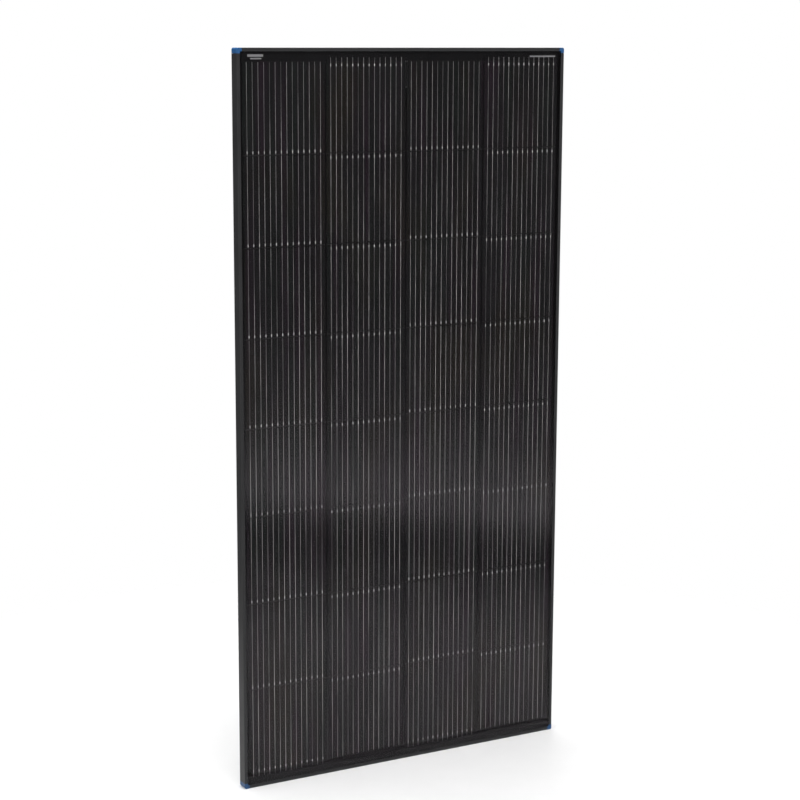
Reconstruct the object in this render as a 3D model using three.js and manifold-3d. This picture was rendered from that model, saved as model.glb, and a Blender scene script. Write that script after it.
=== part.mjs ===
// A rigid, framed solar panel with 32 cells, standing upright on a short side.
// Millimetres. X runs across the panel, Y from the glass to the back, Z up the panel.
// The origin is the middle of the bottom face, and the glass faces -Y.

import * as THREE from "three";
import { mergeVertices } from "three/addons/utils/BufferGeometryUtils.js";
import Module from "manifold-3d";

const wasm = await Module();
wasm.setup();

// ---- Driving dimensions ------------------------------------------------------------------

const PANEL_WIDTH = 762;
const PANEL_HEIGHT = 1524;
const PANEL_DEPTH = 25;

// Frame profile, measured inwards from the outer face and back from the front face.
const WALL = 1.5;
const LIP_WIDTH = 7;
const LIP_ROUNDING = 0.9;
const SLOT_DEPTH = 5.7;
const FLANGE_WIDTH = 22;
const CORNER_LEG = 11;
const CORNER_ROUNDING = 4;
const CORNER_KEY_LENGTH = 28;
const FRAME_CLEARANCE = 0.3;

// Mounting slots through the rear flange, and the earthing holes beside them.
const MOUNT_SLOT_WIDTH = 9;
const MOUNT_SLOT_LENGTH = 14;
const MOUNT_SLOT_SPACING = 900;
const EARTH_HOLE_RADIUS = 2.2;
const EARTH_HOLE_OFFSET = 60;

// Laminate, from the front: glass, encapsulant holding the cells, backsheet.
const LAMINATE_INSET = 2.5;
const LAMINATE_FRONT_GAP = 0.25;
const GLASS_THICKNESS = 3.2;
const ENCAPSULANT_THICKNESS = 1.5;
const ENCAPSULANT_SKIN = 0.3;
const BACKSHEET_THICKNESS = 0.3;
const LAYER_GAP = 0.05;
const SEALANT_GAP = 0.2;
const SEALANT_BACKING = 0.2;
const BEAD_WIDTH = 2.7;
const BEAD_HEIGHT = 1.2;

// Cells and their wiring.
const COLUMNS = 4;
const ROWS = 8;
const CELL_SIZE = 182;
const CELL_CHAMFER = 1.5;
const CELL_THICKNESS = 0.2;
const COLUMN_PITCH = 185;
const ROW_PITCH = 183.75;
const GRID_RISE = 1;
const WIRES_PER_CELL = 14;
const WIRE_PITCH = 12.42;
const WIRE_WIDTH = 0.4;
const WIRE_THICKNESS = 0.25;
const BUS_WIDTH = 4;
const BUS_OFFSET = 8;
const BUS_THICKNESS = 0.5;
const OUTER_BUS_RISE = 5.5;
const LEAD_WIDTH = 5;
const LEAD_THICKNESS = 0.2;

// Junction box, in its own frame: origin on the backsheet at the middle of its floor.
const BOX_WIDTH = 120;
const BOX_HEIGHT = 90;
const BOX_BASE_DEPTH = 15.3;
const BOX_WALL = 2.2;
const BOX_FLOOR = 1.8;
const BOX_ROUNDING = 6;
const BOX_TOP_MARGIN = 60;
const LID_GAP = 0.3;
const LID_THICKNESS = 2;
const LID_RIM_DEPTH = 1.5;
const LID_RIM_WIDTH = 1.6;
const LID_RIM_CLEARANCE = 0.4;
const TERMINAL_SPACING = 36;
const TERMINAL_WIDTH = 12;
const TERMINAL_THICKNESS = 1;
const TERMINAL_BOTTOM = -14;
const TERMINAL_TAB_HEIGHT = 8;
const DIODE_HEIGHT = 5.5;
const LEAD_SLIT_HEIGHT = 28;

// ---- Worked-out positions ----------------------------------------------------------------

const FRONT_Y = -PANEL_DEPTH / 2;
const SHELF_DEPTH = WALL + SLOT_DEPTH;
const FLANGE_DEPTH = PANEL_DEPTH - WALL;

const GLASS_Y = FRONT_Y + WALL + LAMINATE_FRONT_GAP;
const ENCAPSULANT_Y = GLASS_Y + GLASS_THICKNESS + LAYER_GAP;
const BACKSHEET_Y = ENCAPSULANT_Y + ENCAPSULANT_THICKNESS + LAYER_GAP;
const BOX_Y = BACKSHEET_Y + BACKSHEET_THICKNESS + LAYER_GAP;

const POCKET_Y = ENCAPSULANT_Y + ENCAPSULANT_SKIN;
const POCKET_DEPTH = ENCAPSULANT_THICKNESS - 2 * ENCAPSULANT_SKIN;
const WIRE_Y = POCKET_Y + LAYER_GAP;
const CELL_Y = WIRE_Y + WIRE_THICKNESS + LAYER_GAP;
const LEAD_Y = CELL_Y + CELL_THICKNESS + LAYER_GAP;

const MID_HEIGHT = PANEL_HEIGHT / 2;
const GRID_HALF_WIDTH = ((COLUMNS - 1) * COLUMN_PITCH + CELL_SIZE) / 2;
const GRID_HALF_HEIGHT = ((ROWS - 1) * ROW_PITCH + CELL_SIZE) / 2;
const GRID_MIDDLE = MID_HEIGHT + GRID_RISE;
const GRID_TOP = GRID_MIDDLE + GRID_HALF_HEIGHT;
const GRID_BOTTOM = GRID_MIDDLE - GRID_HALF_HEIGHT;

const BOX_Z = PANEL_HEIGHT - BOX_TOP_MARGIN - BOX_HEIGHT / 2;
const LEAD_SLIT_Z = BOX_Z + LEAD_SLIT_HEIGHT;
const LEAD_SLIT_WIDTH = 2 * TERMINAL_SPACING + 3 * LEAD_WIDTH;

// ---- Shapes and booleans -----------------------------------------------------------------

function box(x0, x1, y0, y1, z0, z1) {
  const geometry = new THREE.BoxGeometry(x1 - x0, y1 - y0, z1 - z0);
  return geometry.translate((x0 + x1) / 2, (y0 + y1) / 2, (z0 + z1) / 2);
}

// A rectangle with an optional corner radius, in a shape's own plane.
function rectangle(x0, x1, z0, z1, radius = 0) {
  const shape = new THREE.Shape();
  if (radius === 0) {
    shape.setFromPoints([
      new THREE.Vector2(x0, z0),
      new THREE.Vector2(x1, z0),
      new THREE.Vector2(x1, z1),
      new THREE.Vector2(x0, z1),
    ]);
    return shape;
  }
  shape.absarc(x1 - radius, z0 + radius, radius, -Math.PI / 2, 0, false);
  shape.absarc(x1 - radius, z1 - radius, radius, 0, Math.PI / 2, false);
  shape.absarc(x0 + radius, z1 - radius, radius, Math.PI / 2, Math.PI, false);
  shape.absarc(x0 + radius, z0 + radius, radius, Math.PI, 1.5 * Math.PI, false);
  return shape;
}

function extrude(shape, depth, curveSegments = 6) {
  return new THREE.ExtrudeGeometry(shape, { depth, bevelEnabled: false, curveSegments });
}

// A shape drawn in the XZ plane and given a thickness along Y, from front to front + thickness.
function slab(shape, front, thickness, curveSegments = 6) {
  const geometry = extrude(shape, thickness, curveSegments).rotateX(Math.PI / 2);
  return geometry.translate(0, front + thickness, 0);
}

// A round bar along X, Y or Z, from start to end on that axis.
function bar(axis, radius, start, end, at, sides = 24) {
  const geometry = new THREE.CylinderGeometry(radius, radius, end - start, sides);
  const middle = (start + end) / 2;
  if (axis === "x") {
    return geometry.rotateZ(Math.PI / 2).translate(middle, at[0], at[1]);
  }
  if (axis === "y") {
    return geometry.translate(at[0], middle, at[1]);
  }
  return geometry.rotateX(Math.PI / 2).translate(at[0], at[1], middle);
}

function solid(geometry) {
  const bare = geometry.clone();
  bare.deleteAttribute("normal");
  bare.deleteAttribute("uv");
  const merged = mergeVertices(bare);
  return new wasm.Manifold(
    new wasm.Mesh({
      numProp: 3,
      vertProperties: merged.attributes.position.array,
      triVerts: new Uint32Array(merged.index.array),
    }),
  );
}

function geometryOf(manifold) {
  const mesh = manifold.getMesh();
  const geometry = new THREE.BufferGeometry();
  geometry.setAttribute("position", new THREE.BufferAttribute(mesh.vertProperties, 3));
  geometry.setIndex(new THREE.BufferAttribute(mesh.triVerts, 1));
  const faceted = geometry.toNonIndexed();
  faceted.computeVertexNormals();
  return faceted;
}

function join(...geometries) {
  return geometryOf(geometries.map(solid).reduce((whole, next) => whole.add(next)));
}

function cut(geometry, ...cutters) {
  return geometryOf(cutters.map(solid).reduce((left, next) => left.subtract(next), solid(geometry)));
}

// ---- Finishes ----------------------------------------------------------------------------

const FINISH = {
  frame: { color: 0x1b1c1e, roughness: 0.38, metalness: 0.75 },
  corner: { color: 0x2c4f80, roughness: 0.5, metalness: 0 },
  glass: { color: 0x2a2c30, roughness: 0.08, metalness: 0, transparent: true, opacity: 0.3 },
  encapsulant: { color: 0xd9dde0, roughness: 0.4, metalness: 0, transparent: true, opacity: 0.3 },
  backsheet: { color: 0x141416, roughness: 0.7, metalness: 0 },
  sealant: { color: 0x0e0e10, roughness: 0.8, metalness: 0 },
  cell: { color: 0x16171d, roughness: 0.35, metalness: 0.1 },
  wire: { color: 0xb9bcc0, roughness: 0.3, metalness: 0.9 },
  boxPlastic: { color: 0x18191a, roughness: 0.6, metalness: 0 },
  terminal: { color: 0xc2c5c9, roughness: 0.35, metalness: 0.9 },
  diode: { color: 0x101113, roughness: 0.4, metalness: 0 },
  rubber: { color: 0x0b0b0c, roughness: 0.9, metalness: 0 },
};

function piece(name, geometry, finish) {
  const mesh = new THREE.Mesh(geometry, new THREE.MeshStandardMaterial(finish));
  mesh.name = name;
  return mesh;
}

// ---- Frame -------------------------------------------------------------------------------

// The rail's section: X inwards from the outer face, Y back from the front face.
// A lip holds the glass from the front, a shelf backs it, and a flange closes the hollow chamber.
function railSection() {
  const outline = new THREE.Shape();
  outline.moveTo(LIP_ROUNDING, 0);
  outline.absarc(LIP_WIDTH - LIP_ROUNDING, LIP_ROUNDING, LIP_ROUNDING, -Math.PI / 2, 0, false);
  outline.lineTo(LIP_WIDTH, WALL);
  outline.lineTo(WALL, WALL);
  outline.lineTo(WALL, SHELF_DEPTH);
  outline.lineTo(LIP_WIDTH, SHELF_DEPTH);
  outline.lineTo(LIP_WIDTH, FLANGE_DEPTH);
  outline.lineTo(FLANGE_WIDTH, FLANGE_DEPTH);
  outline.lineTo(FLANGE_WIDTH, PANEL_DEPTH);
  outline.lineTo(0, PANEL_DEPTH);
  outline.absarc(LIP_ROUNDING, LIP_ROUNDING, LIP_ROUNDING, Math.PI, 1.5 * Math.PI, false);
  outline.holes.push(
    rectangle(WALL, LIP_WIDTH - WALL, SHELF_DEPTH + WALL, FLANGE_DEPTH),
  );
  return outline;
}

// Where two rails meet, each flange stops on the mitre line between them.
function flangeMitre(halfLength) {
  const reach = FLANGE_WIDTH + 1;
  const fromCorner = (distance) => halfLength + CORNER_LEG + FRAME_CLEARANCE - distance;
  const wedge = new THREE.Shape([
    new THREE.Vector2(CORNER_LEG - 1, fromCorner(CORNER_LEG - 1 + FRAME_CLEARANCE)),
    new THREE.Vector2(reach, fromCorner(reach + FRAME_CLEARANCE)),
    new THREE.Vector2(reach, halfLength + 1),
    new THREE.Vector2(CORNER_LEG - 1, halfLength + 1),
  ]);
  return slab(wedge, FLANGE_DEPTH - 1, WALL + 2);
}

// A slot with round ends, long the way the rail runs, cut through the flange.
function mountSlot(along) {
  const x = (LIP_WIDTH + FLANGE_WIDTH) / 2;
  const outline = rectangle(
    x - MOUNT_SLOT_WIDTH / 2,
    x + MOUNT_SLOT_WIDTH / 2,
    along - MOUNT_SLOT_LENGTH / 2,
    along + MOUNT_SLOT_LENGTH / 2,
    MOUNT_SLOT_WIDTH / 2,
  );
  return slab(outline, FLANGE_DEPTH - 1, WALL + 2);
}

function earthHole(along) {
  const x = (LIP_WIDTH + FLANGE_WIDTH) / 2;
  return bar("y", EARTH_HOLE_RADIUS, FLANGE_DEPTH - 1, PANEL_DEPTH + 1, [x, along], 16);
}

// A rail along Z, centred on its length, with its outer face in the plane x = 0.
function rail(overallLength, cutters) {
  const length = overallLength - 2 * (CORNER_LEG + FRAME_CLEARANCE);
  const bare = extrude(railSection(), length, 4).translate(0, 0, -length / 2);
  const upperMitre = flangeMitre(length / 2);
  const lowerMitre = solid(upperMitre).mirror([0, 0, 1]);
  return cut(geometryOf(solid(bare).subtract(lowerMitre)), upperMitre, ...cutters);
}

function frameRails() {
  const slots = [-MOUNT_SLOT_SPACING / 2, MOUNT_SLOT_SPACING / 2];
  const longCutters = [
    ...slots.map(mountSlot),
    ...slots.map((along) => earthHole(along + Math.sign(along) * EARTH_HOLE_OFFSET)),
  ];
  const places = [
    ["left", PANEL_HEIGHT, longCutters, [-PANEL_WIDTH / 2, MID_HEIGHT], 0],
    ["top", PANEL_WIDTH, [], [0, PANEL_HEIGHT], Math.PI / 2],
    ["right", PANEL_HEIGHT, longCutters, [PANEL_WIDTH / 2, MID_HEIGHT], Math.PI],
    ["bottom", PANEL_WIDTH, [], [0, 0], -Math.PI / 2],
  ];
  return places.map(([side, overallLength, cutters, [x, z], turn]) => {
    const mesh = piece(`frame_rail_${side}`, rail(overallLength, cutters), FINISH.frame);
    mesh.position.set(x, FRONT_Y, z);
    mesh.rotation.y = turn;
    return mesh;
  });
}

// A corner moulding, its outer corner at the origin and its two keys along +X and +Z.
function cornerMoulding() {
  const outline = new THREE.Shape();
  outline.moveTo(CORNER_LEG, 0);
  outline.lineTo(CORNER_LEG, CORNER_LEG);
  outline.lineTo(0, CORNER_LEG);
  outline.absarc(CORNER_ROUNDING, CORNER_ROUNDING, CORNER_ROUNDING, Math.PI, 1.5 * Math.PI, false);
  const past = CORNER_LEG + 1;
  const block = cut(
    slab(outline, 0, PANEL_DEPTH),
    box(WALL, past, WALL, SHELF_DEPTH, WALL, past),
    box(LIP_WIDTH, past, -1, FLANGE_DEPTH, LIP_WIDTH, past),
  );
  const near = WALL + FRAME_CLEARANCE;
  const far = LIP_WIDTH - WALL - FRAME_CLEARANCE;
  const keyFront = SHELF_DEPTH + WALL + FRAME_CLEARANCE;
  const keyBack = FLANGE_DEPTH - FRAME_CLEARANCE;
  const keyEnd = CORNER_LEG + CORNER_KEY_LENGTH;
  return join(
    block,
    box(CORNER_LEG - 1, keyEnd, keyFront, keyBack, near, far),
    box(near, far, keyFront, keyBack, CORNER_LEG - 1, keyEnd),
  );
}

function cornerPieces() {
  const places = [
    ["bottom_left", -PANEL_WIDTH / 2, 0, 0],
    ["top_left", -PANEL_WIDTH / 2, PANEL_HEIGHT, Math.PI / 2],
    ["top_right", PANEL_WIDTH / 2, PANEL_HEIGHT, Math.PI],
    ["bottom_right", PANEL_WIDTH / 2, 0, -Math.PI / 2],
  ];
  return places.map(([corner, x, z, turn]) => {
    const mesh = piece(`corner_piece_${corner}`, cornerMoulding(), FINISH.corner);
    mesh.position.set(x, FRONT_Y, z);
    mesh.rotation.y = turn;
    return mesh;
  });
}

// ---- Laminate ----------------------------------------------------------------------------

// A rectangle around the panel's middle, a given distance in from the panel's outer faces.
function inset(distance, radius = 0) {
  const halfWidth = PANEL_WIDTH / 2;
  return rectangle(-halfWidth + distance, halfWidth - distance, distance, PANEL_HEIGHT - distance, radius);
}

function leadSlit(front, thickness) {
  const halfWidth = LEAD_SLIT_WIDTH / 2;
  const halfHeight = BUS_WIDTH;
  const outline = rectangle(-halfWidth, halfWidth, LEAD_SLIT_Z - halfHeight, LEAD_SLIT_Z + halfHeight);
  return slab(outline, front, thickness);
}

// The encapsulant wraps the cells and wires. The leads leave it through the slit in its back.
function encapsulant() {
  const pocketMargin = LIP_WIDTH - WALL;
  return cut(
    slab(inset(LAMINATE_INSET), ENCAPSULANT_Y, ENCAPSULANT_THICKNESS),
    slab(inset(pocketMargin), POCKET_Y, POCKET_DEPTH),
    leadSlit(POCKET_Y, ENCAPSULANT_THICKNESS),
  );
}

function backsheet() {
  return cut(
    slab(inset(LAMINATE_INSET), BACKSHEET_Y, BACKSHEET_THICKNESS),
    leadSlit(BACKSHEET_Y - 1, BACKSHEET_THICKNESS + 2),
  );
}

// A ring that follows the frame, between two distances in from the panel's outer faces.
function ring(outer, inner, front, thickness) {
  const outline = inset(outer);
  outline.holes.push(inset(inner));
  return slab(outline, front, thickness);
}

// The sealant fills the slot around the laminate's edge, backs it, and ends in a bead.
function edgeSeal() {
  const outer = WALL + SEALANT_GAP;
  const front = FRONT_Y + WALL + FRAME_CLEARANCE;
  const back = BOX_Y + SEALANT_BACKING;
  const beadStart = LIP_WIDTH + FRAME_CLEARANCE;
  const beadEnd = beadStart + BEAD_WIDTH;
  return join(
    ring(outer, LAMINATE_INSET - SEALANT_GAP, front, back - front),
    ring(outer, beadEnd, BOX_Y, SEALANT_BACKING),
    ring(beadStart, beadEnd, BOX_Y, BEAD_HEIGHT),
  );
}

function laminate() {
  return [
    piece("glass", slab(inset(LAMINATE_INSET, 1), GLASS_Y, GLASS_THICKNESS, 2), FINISH.glass),
    piece("encapsulant", encapsulant(), FINISH.encapsulant),
    piece("backsheet", backsheet(), FINISH.backsheet),
    piece("edge_seal", edgeSeal(), FINISH.sealant),
  ];
}

// ---- Cells and wiring --------------------------------------------------------------------

function columnX(column) {
  return (column - (COLUMNS + 1) / 2) * COLUMN_PITCH;
}

function rowZ(row) {
  return GRID_MIDDLE + ((ROWS + 1) / 2 - row) * ROW_PITCH;
}

// A square wafer with its corners nipped off.
function waferShape() {
  const half = CELL_SIZE / 2;
  const side = half - CELL_CHAMFER;
  return new THREE.Shape([
    new THREE.Vector2(side, -half),
    new THREE.Vector2(half, -side),
    new THREE.Vector2(half, side),
    new THREE.Vector2(side, half),
    new THREE.Vector2(-side, half),
    new THREE.Vector2(-half, side),
    new THREE.Vector2(-half, -side),
    new THREE.Vector2(-side, -half),
  ]);
}

function cells() {
  const meshes = [];
  for (let column = 1; column <= COLUMNS; column++) {
    for (let row = 1; row <= ROWS; row++) {
      const mesh = piece(
        `cell_column_${column}_row_${row}`,
        slab(waferShape(), 0, CELL_THICKNESS),
        FINISH.cell,
      );
      mesh.position.set(columnX(column), CELL_Y, rowZ(row));
      meshes.push(mesh);
    }
  }
  return meshes;
}

function wireX(column, wire) {
  return columnX(column) + (wire - (WIRES_PER_CELL + 1) / 2) * WIRE_PITCH;
}

// The wires of two neighbouring columns hang on the ribbon that links them at the bottom.
function stringWires(leftColumn) {
  const ribbonTop = GRID_BOTTOM - BUS_OFFSET;
  const ribbonBottom = ribbonTop - BUS_WIDTH;
  const wireTop = GRID_TOP + BUS_OFFSET - FRAME_CLEARANCE;
  const first = wireX(leftColumn, 1) - WIRE_WIDTH / 2;
  const last = wireX(leftColumn + 1, WIRES_PER_CELL) + WIRE_WIDTH / 2;
  const comb = new THREE.Shape();
  comb.moveTo(last, ribbonBottom);
  for (let column = leftColumn + 1; column >= leftColumn; column--) {
    for (let wire = WIRES_PER_CELL; wire >= 1; wire--) {
      const right = wireX(column, wire) + WIRE_WIDTH / 2;
      const left = right - WIRE_WIDTH;
      if (right < last) {
        comb.lineTo(right, ribbonTop);
      }
      comb.lineTo(right, wireTop);
      comb.lineTo(left, wireTop);
      if (left > first) {
        comb.lineTo(left, ribbonTop);
      }
    }
  }
  comb.lineTo(first, ribbonBottom);
  return slab(comb, WIRE_Y, WIRE_THICKNESS);
}

// A lead runs from a top ribbon down behind the cells, then back through the slit into the box.
function lead(x, top) {
  const left = x - LEAD_WIDTH / 2;
  const right = x + LEAD_WIDTH / 2;
  const tail = BOX_Y + BOX_FLOOR + 2;
  return [
    box(left, right, CELL_Y, LEAD_Y + LEAD_THICKNESS, top - BUS_WIDTH / 2, top),
    box(left, right, LEAD_Y, LEAD_Y + LEAD_THICKNESS, LEAD_SLIT_Z - LEAD_THICKNESS, top),
    box(left, right, LEAD_Y, tail, LEAD_SLIT_Z - LEAD_THICKNESS, LEAD_SLIT_Z),
  ];
}

function busStrip(x0, x1, bottom) {
  return box(x0, x1, WIRE_Y, WIRE_Y + BUS_THICKNESS, bottom, bottom + BUS_WIDTH);
}

// The middle ribbon links the two inner columns at the top.
function middleBus() {
  const bottom = GRID_TOP + BUS_OFFSET;
  const reach = COLUMN_PITCH - (COLUMN_PITCH - CELL_SIZE) / 2;
  return join(busStrip(-reach, reach, bottom), ...lead(0, bottom + BUS_WIDTH));
}

// An outer ribbon starts on an outer column, steps over the middle ribbon and runs to the box.
function outerBus(side) {
  const bottom = GRID_TOP + BUS_OFFSET;
  const outerEnd = side * GRID_HALF_WIDTH;
  const columnEdge = side * (COLUMN_PITCH + (COLUMN_PITCH - CELL_SIZE) / 2);
  const leadX = side * TERMINAL_SPACING;
  const leadEdge = leadX - (side * LEAD_WIDTH) / 2;
  const strip = (a, b, z) => busStrip(Math.min(a, b), Math.max(a, b), z);
  const step = busStrip(
    Math.min(columnEdge, columnEdge + side * BUS_WIDTH),
    Math.max(columnEdge, columnEdge + side * BUS_WIDTH),
    bottom + OUTER_BUS_RISE / 2,
  );
  return join(
    strip(outerEnd, columnEdge, bottom),
    step,
    strip(columnEdge + side * BUS_WIDTH, leadEdge, bottom + OUTER_BUS_RISE),
    ...lead(leadX, bottom + OUTER_BUS_RISE + BUS_WIDTH),
  );
}

function wiring() {
  return [
    piece("string_wires_left", stringWires(1), FINISH.wire),
    piece("string_wires_right", stringWires(3), FINISH.wire),
    piece("bus_ribbon_left", outerBus(-1), FINISH.wire),
    piece("bus_ribbon_middle", middleBus(), FINISH.wire),
    piece("bus_ribbon_right", outerBus(1), FINISH.wire),
  ];
}

// ---- Junction box ------------------------------------------------------------------------

const BOX_HALF_WIDTH = BOX_WIDTH / 2;
const BOX_HALF_HEIGHT = BOX_HEIGHT / 2;

const HINGE_Z = BOX_HALF_HEIGHT + 3.6;
const HINGE_Y = BOX_BASE_DEPTH - 0.7;
const HINGE_PIN_RADIUS = 1.3;
const HINGE_HOLE_RADIUS = 1.6;
const LUG_RADIUS = 2.6;
const EAR_WIDTH = 3;
const LUG_WIDTH = 8;
const HINGE_GAP = 0.4;
const HINGE_CENTRES = [-38, 38];

const SPOUT_X = [-TERMINAL_SPACING, TERMINAL_SPACING];
const SPOUT_Y = 9;
const SPOUT_LENGTH = 11;
const SPOUT_RADIUS = 6.2;
const SPOUT_BORE = 5;
const NUT_ACROSS_FLATS = 15;
const NUT_BORE = 6.6;
const NUT_MOUTH = 4.2;
const NUT_END_WALL = 2.5;
const SEAL_BORE = 3.2;
const SEAL_FLANGE = 1.6;
const GLAND_GAP = 0.3;

function boxOutline(shrink) {
  return rectangle(
    -BOX_HALF_WIDTH + shrink,
    BOX_HALF_WIDTH - shrink,
    -BOX_HALF_HEIGHT + shrink,
    BOX_HALF_HEIGHT - shrink,
    BOX_ROUNDING - shrink,
  );
}

// Two ears on the base's top edge carry each of the lid's two lugs.
function hingeEars(centre) {
  const innerFace = LUG_WIDTH / 2 + HINGE_GAP;
  return [-1, 1].flatMap((side) => {
    const near = centre + side * innerFace;
    const far = near + side * EAR_WIDTH;
    const start = Math.min(near, far);
    const end = Math.max(near, far);
    return [
      bar("x", LUG_RADIUS, start, end, [HINGE_Y, HINGE_Z]),
      box(start, end, HINGE_Y - LUG_RADIUS, BOX_BASE_DEPTH, BOX_HALF_HEIGHT - 1, HINGE_Z),
    ];
  });
}

function boxBase() {
  const body = join(
    slab(boxOutline(0), 0, BOX_BASE_DEPTH),
    ...SPOUT_X.map((x) =>
      bar("z", SPOUT_RADIUS, -BOX_HALF_HEIGHT - SPOUT_LENGTH, -BOX_HALF_HEIGHT + 1, [x, SPOUT_Y]),
    ),
    ...HINGE_CENTRES.flatMap(hingeEars),
  );
  const slitHalfWidth = LEAD_SLIT_WIDTH / 2;
  return cut(
    body,
    slab(boxOutline(BOX_WALL), BOX_FLOOR, BOX_BASE_DEPTH),
    box(
      -slitHalfWidth,
      slitHalfWidth,
      -1,
      BOX_FLOOR + 1,
      LEAD_SLIT_HEIGHT - BUS_WIDTH,
      LEAD_SLIT_HEIGHT + BUS_WIDTH,
    ),
    ...SPOUT_X.map((x) =>
      bar("z", SPOUT_BORE, -BOX_HALF_HEIGHT - SPOUT_LENGTH - 1, -BOX_HALF_HEIGHT + BOX_WALL + 1, [
        x,
        SPOUT_Y,
      ]),
    ),
    bar("x", HINGE_HOLE_RADIUS, -BOX_HALF_WIDTH, BOX_HALF_WIDTH, [HINGE_Y, HINGE_Z], 16),
  );
}

// The lid's lugs are moulded with stub pins that turn in the ears' holes.
function boxLid() {
  const plateFront = BOX_BASE_DEPTH + LID_GAP;
  const rimOuter = BOX_WALL + LID_RIM_CLEARANCE;
  const rim = boxOutline(rimOuter);
  rim.holes.push(boxOutline(rimOuter + LID_RIM_WIDTH));
  const tabHalfWidth = 9;
  const tabReach = 4;
  const lugs = HINGE_CENTRES.flatMap((centre) => {
    const pinReach = LUG_WIDTH / 2 + HINGE_GAP + EAR_WIDTH;
    return [
      bar("x", LUG_RADIUS, centre - LUG_WIDTH / 2, centre + LUG_WIDTH / 2, [HINGE_Y, HINGE_Z]),
      bar("x", HINGE_PIN_RADIUS, centre - pinReach, centre + pinReach, [HINGE_Y, HINGE_Z], 16),
      box(
        centre - LUG_WIDTH / 2,
        centre + LUG_WIDTH / 2,
        plateFront,
        HINGE_Y + LUG_RADIUS,
        BOX_HALF_HEIGHT - 1,
        HINGE_Z,
      ),
    ];
  });
  return join(
    slab(boxOutline(0), plateFront, LID_THICKNESS),
    slab(rim, plateFront - LID_RIM_DEPTH, LID_RIM_DEPTH + LID_THICKNESS / 2),
    box(
      -tabHalfWidth,
      tabHalfWidth,
      plateFront,
      plateFront + LID_THICKNESS,
      -BOX_HALF_HEIGHT - tabReach,
      -BOX_HALF_HEIGHT + 1,
    ),
    ...lugs,
  );
}

// A tinned plate with its lower end bent up, where the diode's leads arrive.
function terminal() {
  const top = LEAD_SLIT_HEIGHT - 1;
  const floor = BOX_FLOOR + GLAND_GAP;
  const tabTop = floor + TERMINAL_TAB_HEIGHT;
  const upperFace = floor + TERMINAL_THICKNESS;
  const tabFace = TERMINAL_BOTTOM + TERMINAL_THICKNESS;
  const profile = new THREE.Shape([
    new THREE.Vector2(TERMINAL_BOTTOM, floor),
    new THREE.Vector2(top, floor),
    new THREE.Vector2(top, upperFace),
    new THREE.Vector2(tabFace, upperFace),
    new THREE.Vector2(tabFace, tabTop),
    new THREE.Vector2(TERMINAL_BOTTOM, tabTop),
  ]);
  // The profile is drawn with Z across and Y up, and runs along X.
  const turned = extrude(profile, TERMINAL_WIDTH).rotateY(-Math.PI / 2);
  return turned.translate(TERMINAL_WIDTH / 2, 0, 0);
}

// An axial diode along X: a fat body with a thin lead at each end.
function diode() {
  const bodyRadius = 3;
  const bodyHalf = 4.75;
  const leadRadius = 0.6;
  const half = (TERMINAL_SPACING - TERMINAL_WIDTH) / 2 - GLAND_GAP;
  const profile = [
    new THREE.Vector2(0, -half),
    new THREE.Vector2(leadRadius, -half),
    new THREE.Vector2(leadRadius, -bodyHalf),
    new THREE.Vector2(bodyRadius, -bodyHalf),
    new THREE.Vector2(bodyRadius, bodyHalf),
    new THREE.Vector2(leadRadius, bodyHalf),
    new THREE.Vector2(leadRadius, half),
    new THREE.Vector2(0, half),
  ];
  return new THREE.LatheGeometry(profile, 16).rotateZ(Math.PI / 2);
}

// The rubber sleeve in the spout, with a flange over the spout's mouth. Its axis is Z.
function glandSeal() {
  const sleeveRadius = SPOUT_BORE - GLAND_GAP;
  const sleeveLength = SPOUT_LENGTH - 1;
  const profile = [
    new THREE.Vector2(SEAL_BORE, 0),
    new THREE.Vector2(SPOUT_RADIUS - GLAND_GAP, 0),
    new THREE.Vector2(SPOUT_RADIUS - GLAND_GAP, SEAL_FLANGE),
    new THREE.Vector2(sleeveRadius, SEAL_FLANGE),
    new THREE.Vector2(sleeveRadius, SEAL_FLANGE + sleeveLength),
    new THREE.Vector2(SEAL_BORE, SEAL_FLANGE + sleeveLength),
    new THREE.Vector2(SEAL_BORE, 0),
  ];
  return new THREE.LatheGeometry(profile, 24).rotateX(Math.PI / 2);
}

// The hexagonal cap nut over spout and seal. Its axis is Z and its mouth is at z = 0.
function glandNut() {
  const length = NUT_END_WALL + SEAL_FLANGE + SPOUT_LENGTH + GLAND_GAP;
  const cornerRadius = NUT_ACROSS_FLATS / Math.sqrt(3);
  const corners = [0, 1, 2, 3, 4, 5].map((n) => {
    const angle = (n * Math.PI) / 3;
    return new THREE.Vector2(Math.cos(angle) * cornerRadius, Math.sin(angle) * cornerRadius);
  });
  return cut(
    extrude(new THREE.Shape(corners), length),
    bar("z", NUT_MOUTH, -1, length, [0, 0]),
    bar("z", NUT_BORE, NUT_END_WALL, length + 1, [0, 0]),
  );
}

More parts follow.
